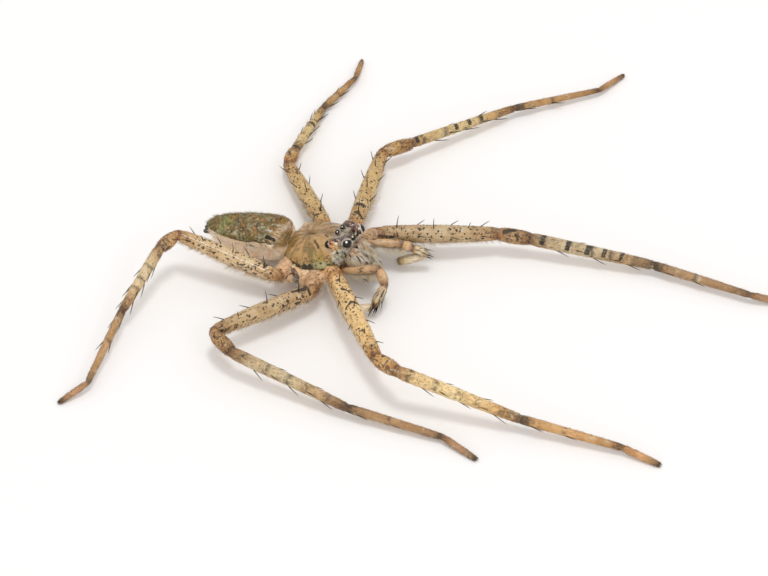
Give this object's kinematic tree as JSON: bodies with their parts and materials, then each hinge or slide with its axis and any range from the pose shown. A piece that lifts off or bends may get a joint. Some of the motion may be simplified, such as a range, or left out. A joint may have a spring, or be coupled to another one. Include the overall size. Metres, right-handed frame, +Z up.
{
  "type": "huntsman spider",
  "caption": "Life-size still model of a huntsman spider at rest on a floor, legs spread flat, some missing, for display or as a scene animal.",
  "frame": {"origin": "On the floor the animal stands on, under the middle of its bounding box.", "axes": "+Z up from the floor; +X the way the head points, about; +Y towards the animal's left side, the longest extent across the spread legs."},
  "size_m": [0.0581, 0.0688, 0.0063],
  "materials": {
    "carapace": "olive-green shell, satin, with short pale hair",
    "abdomen": "mottled olive, brown and orange skin with fine hair",
    "eye": "glossy black lens",
    "leg": "straw-coloured skin with dark specks, satin",
    "joint": "orange-brown joint, smooth",
    "foot": "darker foot with dense short hair",
    "jaw": "cream to brown skin under shaggy hair",
    "skin": "pinkish-tan soft skin",
    "spinner": "dark grey, matte"
  },
  "bodies": {
    "root": {"carapace": "carapace", "eye_ame_r": "eye", "eye_ame_l": "eye", "eye_ale_r": "eye", "eye_ale_l": "eye", "eye_pme_r": "eye", "eye_pme_l": "eye", "eye_ple_r": "eye", "eye_ple_l": "eye", "pedicel": "skin", "abdomen": "abdomen", "spinnerets": "spinner", "chelicera_r": "jaw", "chelicera_l": "jaw", "palp_r_femur": "leg", "palp_r_tibia": "joint", "palp_r_tarsus": "skin", "palp_l_femur": "leg", "palp_l_tibia": "joint", "palp_l_tarsus": "skin", "leg_l1_coxa": "skin", "leg_l1_femur": "leg", "leg_l1_patella": "joint", "leg_l1_tibia": "leg", "leg_l1_metatarsus": "leg", "leg_l1_tarsus": "foot", "leg_r1_coxa": "skin", "leg_r1_femur": "leg", "leg_r1_patella": "joint", "leg_r1_tibia": "leg", "leg_r1_metatarsus": "leg", "leg_r1_tarsus": "foot", "leg_l2_coxa": "skin", "leg_l2_femur": "leg", "leg_l2_patella": "joint", "leg_l2_tibia": "leg", "leg_l2_metatarsus": "leg", "leg_l2_tarsus": "foot", "leg_r2_coxa": "skin", "leg_r2_femur": "leg", "leg_r2_patella": "joint", "leg_r2_tibia": "leg", "leg_r2_metatarsus": "leg", "leg_r2_tarsus": "foot", "leg_l3_coxa": "skin", "leg_l3_femur": "leg", "leg_l3_patella": "joint", "leg_l3_tibia": "leg", "leg_l3_metatarsus": "leg", "leg_l3_tarsus": "foot", "leg_r4_coxa": "skin", "leg_r4_femur": "leg", "leg_r4_patella": "joint", "leg_r4_tibia": "leg", "leg_r4_metatarsus": "leg", "leg_r4_tarsus": "foot", "leg_r3_coxa": "skin", "leg_l4_coxa": "skin", "sternum": "skin"}
  },
  "joints": []
}
